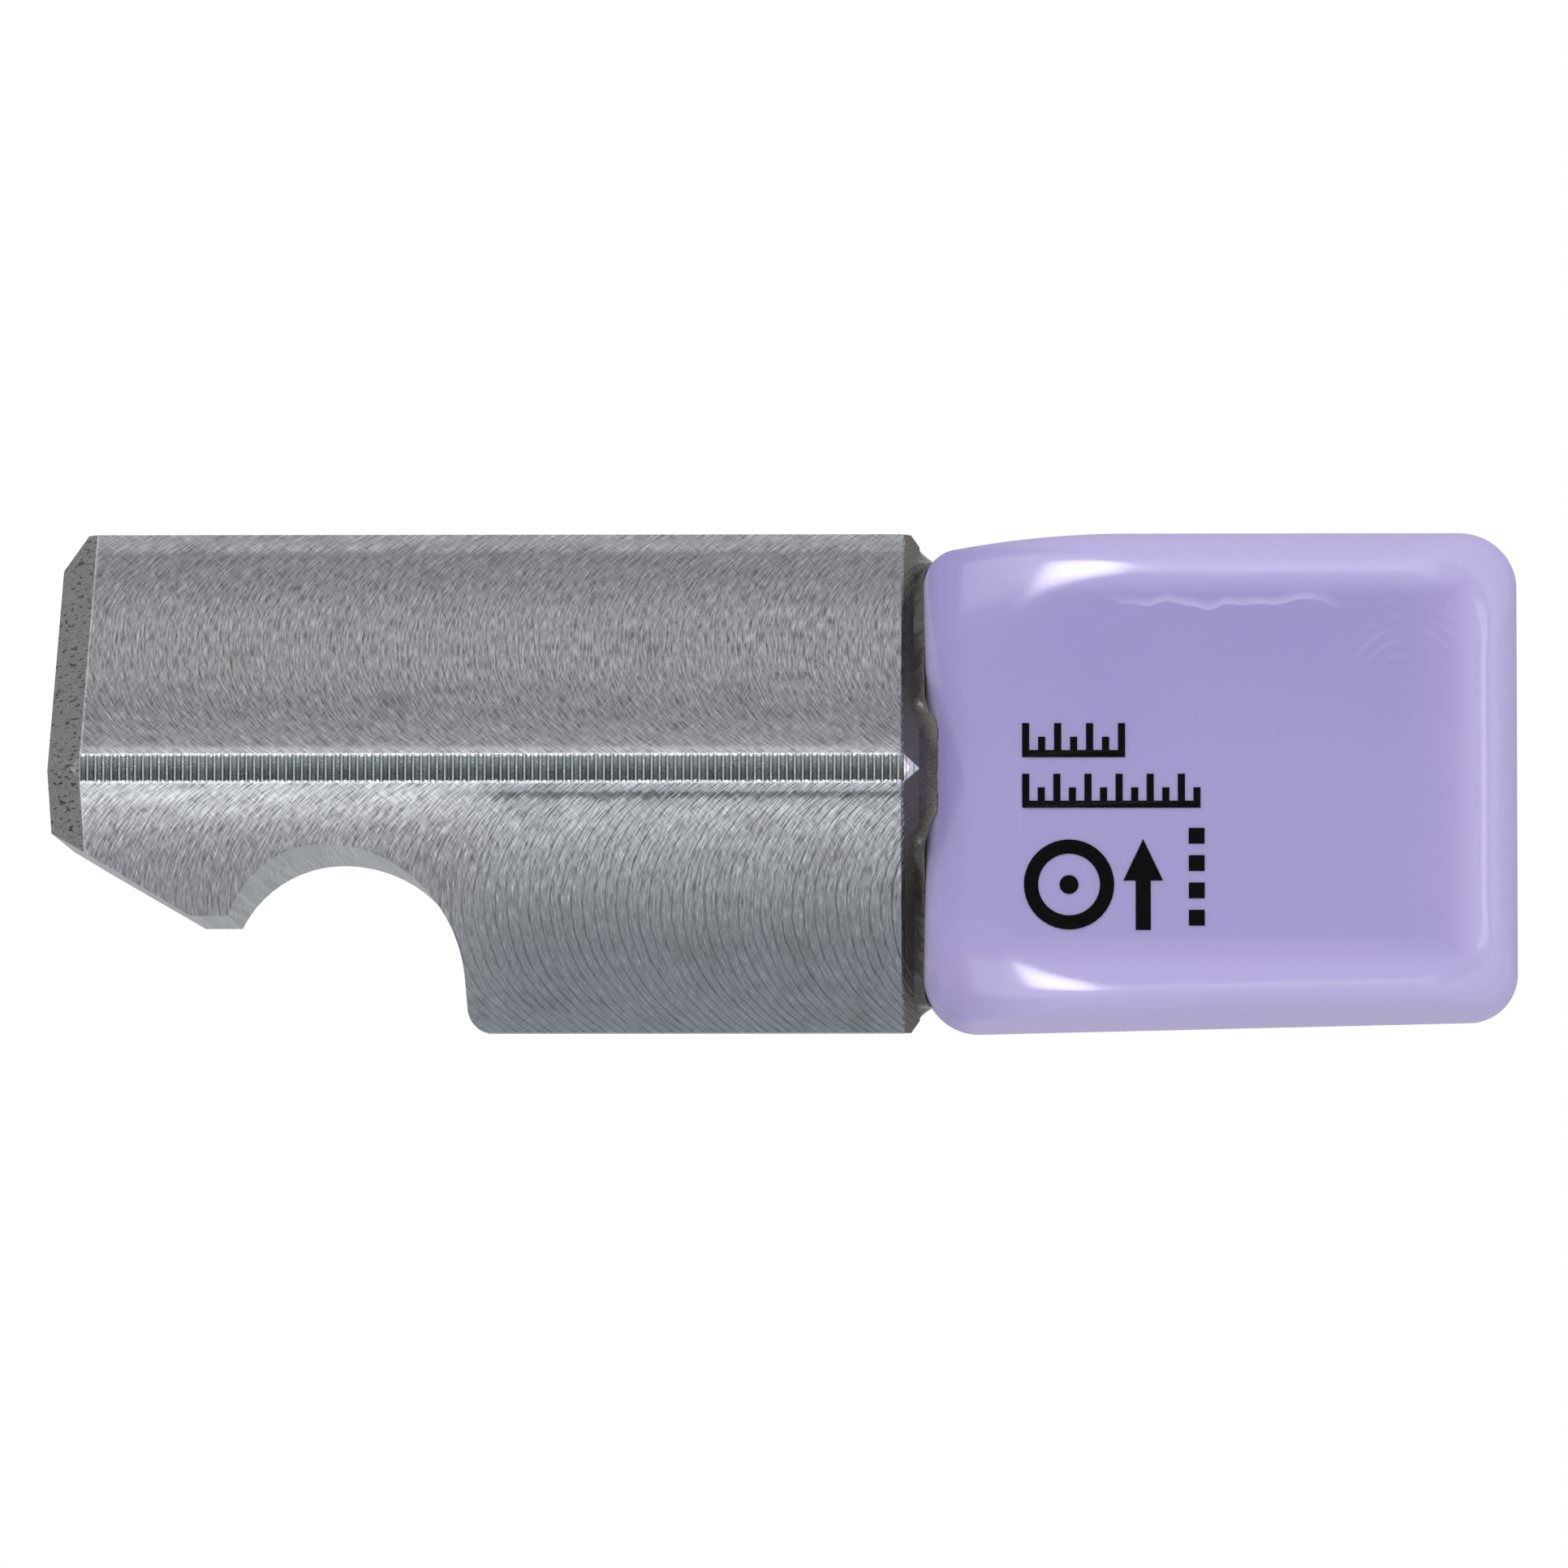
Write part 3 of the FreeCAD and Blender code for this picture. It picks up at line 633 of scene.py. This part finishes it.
def ceramicMaterial():
    # Lithium disilicate before firing, pressed and as glossy as wet stone. It is lilac and a little
    # translucent; its edges carry painted light, and it shows the glue behind its end, with painted shade
    # there.
    material, tree = newMaterial("lithium disilicate pressed lilac")
    inMm = placeInMm(tree)
    at = addNode(tree, "SeparateXYZ", {0: inMm})
    surface = addNode(tree, "TexCoord")
    facing = addNode(tree, "SeparateXYZ", {0: surface.outputs["Normal"]})
    absY = calculate(tree, "ABSOLUTE", facing.outputs["Y"])
    cloud = addNode(tree, "TexNoise", {"Vector": inMm, "Scale": 0.22, "Detail": 3.0})
    # Painted shade: the panel darker towards its top, in clouds
    shadow = calculate(tree, "MULTIPLY_ADD", cloud, 4.0, at.outputs["Z"])
    shadow = addNode(tree, "MapRange", {"Value": shadow, "From Min": 7.6, "From Max": 12.0},
                     interpolation_type="SMOOTHSTEP")
    colour = mixColours(tree, shadow, hexColour(ceramic["panel"]), hexColour(ceramic["panelTopShade"]))

    # Pink along the panel's slopes at the free end and below
    toEnd = addNode(tree, "MapRange", {"Value": at.outputs["X"], "From Min": 14.9, "From Max": 17.4},
                    interpolation_type="SMOOTHSTEP")
    toFoot = addNode(tree, "MapRange", {"Value": at.outputs["Z"], "From Min": 3.0, "From Max": 1.6,
                                        "To Max": 0.5}, interpolation_type="SMOOTHSTEP")
    toEnd = calculate(tree, "MAXIMUM", toEnd, toFoot)
    blush = addNode(tree, "MapRange", {"Value": cloud, "From Min": 0.3, "From Max": 0.6,
                                       "To Min": 0.15, "To Max": 0.5})
    blush = calculate(tree, "MULTIPLY", toEnd, blush)
    colour = mixColours(tree, blush, colour, hexColour(ceramic["pink"]))

    # Painted light: paler edges, from a little inside the panel's rim outwards. The painted light is weaker
    # on the slope to the glue, except for its outermost strip.
    pale = addNode(tree, "MapRange", {"Value": absY, "From Min": 1.0, "From Max": 0.87},
                   interpolation_type="SMOOTHSTEP")
    for axis, inside, rim, share in (("Z", 10.75, 11.45, 0.7), ("Z", 2.3, 1.25, 0.6), ("X", 16.5, 17.6, 0.7)):
        nearRimLight = addNode(tree, "MapRange", {"Value": at.outputs[axis], "From Min": inside, "From Max": rim,
                                             "To Max": share}, interpolation_type="SMOOTHSTEP")
        pale = calculate(tree, "MAXIMUM", pale, nearRimLight)
    unshaded = addNode(tree, "MapRange", {"Value": facing.outputs["X"], "From Min": -0.45, "From Max": 0.05},
                       interpolation_type="SMOOTHSTEP")
    strip = addNode(tree, "MapRange", {"Value": facing.outputs["X"], "From Min": -0.6, "From Max": -0.9},
                    interpolation_type="SMOOTHSTEP")
    unshaded = calculate(tree, "MAXIMUM", unshaded, strip)
    pale = calculate(tree, "MULTIPLY", pale, unshaded)
    colour = mixColours(tree, pale, colour, hexColour(ceramic["edge"]))

    marks = panelMarks(tree, inMm, at, absY)
    # Painted highlight along the crease and the ripples
    colour = mixColours(tree, marks, colour, hexColour(ceramic["creaseGlint"]))

    # Darker towards the glue end: the dark glue seen through the block, and painted shade where the block
    # meets the glue
    wobble = addNode(tree, "TexNoise", {"Vector": inMm, "Scale": 1.1, "Detail": 2.0})
    fromGlue = calculate(tree, "MULTIPLY_ADD", wobble, -0.35, at.outputs["X"])
    glueSeenAndShade = addNode(tree, "MapRange", {"Value": fromGlue, "From Min": 3.32, "From Max": 3.8,
                                          "To Min": 0.45, "To Max": 0.0}, interpolation_type="SMOOTHERSTEP")
    colour = mixColours(tree, glueSeenAndShade, colour, hexColour(ceramic["glueAndContactShade"]))

    # Waves left by pressing, and a duller skin on the side walls
    swell = addNode(tree, "TexNoise", {"Vector": inMm, "Scale": 0.45, "Detail": 1.0})
    relief = calculate(tree, "MULTIPLY_ADD", marks, 0.12, swell)
    bump = addNode(tree, "Bump", {"Height": relief, "Strength": 0.25, "Distance": 0.1 * mm})
    gloss = addNode(tree, "MapRange", {"Value": absY, "From Min": 0.35, "From Max": 0.85,
                                       "To Min": 0.8, "To Max": 0.13}, interpolation_type="SMOOTHSTEP")
    shader = addNode(tree, "BsdfPrincipled", {"Base Color": colour, "Roughness": gloss, "IOR": 1.54,
                                              "Normal": bump, "Subsurface Weight": 0.3,
                                              "Subsurface Radius": (1.0, 0.85, 1.3),
                                              "Subsurface Scale": 0.6 * mm})
    addNode(tree, "OutputMaterial", {"Surface": shader})
    return material


ceramicBlock = buildBlock()
ceramicBlock.data.materials.append(ceramicMaterial())
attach(ceramicBlock, "root")
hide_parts("ceramic_block")
print("ceramic block is made")


printed = {
    "raised": 0.035,         # mm that the ink stands off the block
    "thickness": 0.10, "bevel": 0.014, "stroke": 0.18,
    # Two gauges like combs, in mm: left end, foot, length, number of teeth, tooth height
    "gauges": ((6.0, 6.74, 2.60, 7, 0.86), (6.0, 5.46, 4.50, 12, 0.86)),
    "shortTooth": 0.6,       # height of every second tooth, as a share of the others
    "ringPlace": (7.18, 3.52), "ringRadii": (1.14, 0.78), "dotRadius": 0.24,
    "arrowPlace": (9.05, 3.52), "arrowSize": (1.0, 2.3), "arrowShaft": 0.38,
    "headFoot": 0.1,         # mm from the arrow's middle up to the foot of its head
    "squarePlace": (10.2, 2.48), "squareSize": 0.40, "squareGap": 0.29, "squareCount": 4,
    "ink": "#050304", "thinInk": "#150A0D",
}


def buildPrintedMarks():
    # Setting-up marks in flat outlines: two gauges like combs, a ring round a dot, an arrow that points up
    # and a column of squares
    outlines = []

    def addCircle(centre, radius, steps=40):
        turn = np.linspace(0, 2 * np.pi, steps, endpoint=False)
        outlines.append(list(zip(centre[0] + radius * np.cos(turn), centre[1] + radius * np.sin(turn))))

    stroke = printed["stroke"]
    for left, bottom, length, ticks, tickHeight in printed["gauges"]:
        comb = [(left + length, bottom), (left, bottom)]
        for tick in range(ticks):
            place = left + (length - stroke) * tick / (ticks - 1)
            top = bottom + tickHeight * (1 if tick % 2 == 0 else printed["shortTooth"])
            comb += [(place, bottom + stroke), (place, top),
                     (place + stroke, top), (place + stroke, bottom + stroke)]
        # The first and last teeth end flush with the bar
        del comb[2], comb[-1]
        outlines.append(comb)
    for radius in printed["ringRadii"]:
        addCircle(printed["ringPlace"], radius)
    addCircle(printed["ringPlace"], printed["dotRadius"], steps=24)
    (middle, height), (wide, tall) = printed["arrowPlace"], printed["arrowSize"]
    shaft, headFoot = printed["arrowShaft"] / 2, height + printed["headFoot"]
    outlines.append([(middle - shaft, height - tall / 2), (middle + shaft, height - tall / 2),
                     (middle + shaft, headFoot), (middle + wide / 2, headFoot), (middle, height + tall / 2),
                     (middle - wide / 2, headFoot), (middle - shaft, headFoot)])
    (left, bottom), size = printed["squarePlace"], printed["squareSize"]
    for row in range(printed["squareCount"]):
        foot = bottom + row * (size + printed["squareGap"])
        outlines.append([(left, foot), (left + size, foot), (left + size, foot + size), (left, foot + size)])

    curve = bpy.data.curves.new("printedMarks", "CURVE")
    curve.dimensions, curve.fill_mode = "2D", "BOTH"
    curve.bevel_depth, curve.bevel_resolution = printed["bevel"] * mm, 2
    curve.extrude = (printed["thickness"] / 2 - printed["bevel"]) * mm
    curve.offset = -printed["bevel"] * mm
    for outline in outlines:
        spline = curve.splines.new("POLY")
        spline.points.add(len(outline) - 1)
        spline.points.foreach_set("co", np.array([(x * mm, z * mm, 0, 1) for x, z in outline]).ravel())
        spline.use_cyclic_u = True
    source = bpy.data.objects.new("markOutlines", curve)
    bpy.context.scene.collection.objects.link(source)
    mesh = bpy.data.meshes.new_from_object(source.evaluated_get(bpy.context.evaluated_depsgraph_get()))
    bpy.data.objects.remove(source)
    # Stood up, so that the outlines' own up is Z and their thickness faces -Y, and laid on the block's
    # front. Each point takes the mean depth of the four nearest points of the front, and a point's weight
    # is one over its distance squared.
    mesh.transform(Matrix.Rotation(math.pi / 2, 4, "X"))
    points = np.zeros(len(mesh.vertices) * 3, dtype=np.float32)
    mesh.vertices.foreach_get("co", points)
    points = points.reshape(-1, 3) / mm
    front = blockFront()[block["wallSteps"] + block["edgeSteps"] // 2:].reshape(-1, 3)
    reach = np.abs(front[:, [0, 2]] - points[:, [0, 2]].mean(axis=0)) < np.ptp(points[:, [0, 2]], axis=0)
    front = front[reach.all(axis=1)]
    apart = ((points[:, None, [0, 2]] - front[None, :, [0, 2]]) ** 2).sum(axis=-1)
    nearest = np.argpartition(apart, 4, axis=1)[:, :4]
    weight = 1 / (np.take_along_axis(apart, nearest, axis=1) + 1e-6)
    surface = (front[nearest, 1] * weight).sum(axis=1) / weight.sum(axis=1)
    points[:, 1] += surface - printed["raised"] + printed["thickness"] / 2
    mesh.vertices.foreach_set("co", (points * mm).ravel())
    piece = bpy.data.objects.new("printedMarks", mesh)
    bpy.context.scene.collection.objects.link(piece)
    return piece


def inkMaterial():
    # Pad-printed ink, baked on: deep black that reflects little, brownish where it is thin, with a
    # slightly uneven skin
    material, tree = newMaterial("pad-printing ink baked black")
    inMm = placeInMm(tree)
    skin = addNode(tree, "TexNoise", {"Vector": inMm, "Scale": 12.0, "Detail": 2.0})
    brown = addNode(tree, "MapRange", {"Value": skin, "From Min": 0.45, "From Max": 0.75, "To Max": 0.6})
    colour = mixColours(tree, brown, hexColour(printed["ink"]), hexColour(printed["thinInk"]))
    bump = addNode(tree, "Bump", {"Height": skin, "Strength": 0.35, "Distance": 0.02 * mm})
    shader = addNode(tree, "BsdfPrincipled", {"Base Color": colour, "Roughness": 0.22, "IOR": 1.48,
                                              "Specular IOR Level": 0.05, "Normal": bump})
    addNode(tree, "OutputMaterial", {"Surface": shader})
    return material


printedMarks = buildPrintedMarks()
printedMarks.data.materials.append(inkMaterial())
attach(printedMarks, "root")
print("printed marks are made")


glue = {
    "seatReach": 6.085,      # mm from the axis to a corner of the mandrel's seat
    "start": 3.24, "seat": 3.4, "face": 3.5,    # X of the bead's start, the seat and the block's end
    "startWaver": 0.10,      # mm that the start wavers along X
    "chamferSlope": 0.97,    # growth of the chamfer's corner for each mm back from the seat
    "proud": 0.01,           # mm that the bead's start stands off the chamfer
    "skin": 0.04,            # mm between the block's end and the bead's rim and bend
    # The block's end is a rounded rectangle, a superellipse of the power faceRound, in mm from the axis
    "faceHalfWidth": 4.55, "faceUp": 5.66, "faceDown": 5.74, "faceRound": 5,
    "spread": 0.34,          # mm that the bead spreads past the mandrel's seat
    "poolRise": 0.34,        # mm further along X where it runs over the block's edge
    "poolWidth": 0.9,        # mm past the edge at which it has run over
    "bendOut": 0.08,         # mm that the bend lies outside the rim where the bead runs over the edge
    "bendFollow": 0.12,      # share of the way from there to the start's radius
    "bendIn": 0.05,          # mm that it lies inside the rim elsewhere
    "closing": 0.8,          # the bead's ends close on rings of this share of their radius
    "columns": 360, "curveSteps": 16,
    "dark": "#2C2826", "pale": "#5E574F",
}


def buildGlue():
    # A bead carried round the axis. It starts on the mandrel's chamfer and ends on the block, and its
    # profile is a concave quadratic curve, whose control point is its bend, near the end. Sines of the
    # angle make it uneven.
    angle = np.linspace(0, 2 * np.pi, glue["columns"], endpoint=False)
    across, up = np.cos(angle), np.sin(angle)
    square = 1 / (np.abs(across) + np.abs(up))
    uneven = (0.16 * np.sin(5 * angle + 0.7) + 0.09 * np.sin(13 * angle + 2.1) + 0.08 * np.sin(29 * angle)
              + 0.06 * np.sin(71 * angle + 1.0))
    seat = glue["seatReach"] * square
    start = glue["start"] + glue["startWaver"] * uneven
    startRadius = seat + (glue["seat"] - start) * square * glue["chamferSlope"] + glue["proud"]
    faceHeight, power = np.where(up > 0, glue["faceUp"], glue["faceDown"]), glue["faceRound"]
    face = np.abs(across / glue["faceHalfWidth"]) ** power + np.abs(up / faceHeight) ** power
    face = face ** (-1 / power)
    wanted = seat + glue["spread"] * (1 + uneven)
    outside = smoothStep((wanted - face) / glue["poolWidth"])
    endRadius = np.minimum(wanted, face)
    endPlace = glue["face"] + glue["skin"] + glue["poolRise"] * outside * (1 + 0.4 * uneven)
    bendOut = glue["bendOut"] + glue["bendFollow"] * (startRadius - endRadius)
    bendRadius = endRadius + bendOut * outside - glue["bendIn"] * (1 - outside)
    bendPlace = glue["face"] - glue["skin"] + 0.02 * outside
    share = np.linspace(0, 1, glue["curveSteps"])[:, None]
    place = (1 - share) ** 2 * start + 2 * share * (1 - share) * bendPlace + share ** 2 * endPlace
    radius = (1 - share) ** 2 * startRadius + 2 * share * (1 - share) * bendRadius + share ** 2 * endRadius
    place = np.vstack([place[:1] + 0.02, place, place[-1:]])
    radius = np.vstack([radius[:1] * glue["closing"], radius, radius[-1:] * glue["closing"]])
    points = np.stack([place, radius * across, axisHeight + radius * up], axis=-1)
    return gridMesh("glueBead", points, around=True, poleStart=True, poleEnd=True)


def glueMaterial():
    # Epoxy, cured brown and slightly cloudy: dark and wet-looking, with fine grains and a paler skin
    # where it spreads thin
    material, tree = newMaterial("epoxy cured brown")
    inMm = placeInMm(tree)
    at = addNode(tree, "SeparateXYZ", {0: inMm})
    cloud = addNode(tree, "TexNoise", {"Vector": inMm, "Scale": 1.6, "Detail": 4.0, "Roughness": 0.7})
    thin = addNode(tree, "MapRange", {"Value": at.outputs["X"],
                                      "From Min": 3.42, "From Max": 3.8, "To Max": 0.7})
    thin = calculate(tree, "MULTIPLY_ADD", cloud, 1.3, thin)
    thin = calculate(tree, "SUBTRACT", thin, 0.45, use_clamp=True)
    colour = mixColours(tree, thin, hexColour(glue["dark"]), hexColour(glue["pale"]))
    grain = addNode(tree, "TexNoise", {"Vector": inMm, "Scale": 24.0, "Detail": 2.0})
    grainTone = addNode(tree, "MapRange", {"Value": grain, "From Min": 0.35, "From Max": 0.65,
                                           "To Min": 0.55, "To Max": 1.5})
    colour = mixColours(tree, 1.0, colour, grainTone, "MULTIPLY")
    relief = calculate(tree, "MULTIPLY_ADD", grain, 0.25, cloud)
    bump = addNode(tree, "Bump", {"Height": relief, "Strength": 0.6, "Distance": 0.06 * mm})
    shader = addNode(tree, "BsdfPrincipled", {"Base Color": colour,
                                              "Roughness": 0.12, "IOR": 1.5, "Normal": bump})
    addNode(tree, "OutputMaterial", {"Surface": shader})
    return material


glueBead = buildGlue()
glueBead.data.materials.append(glueMaterial())
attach(glueBead, "root")
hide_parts("adhesive_bond")
print("glue bead is made")
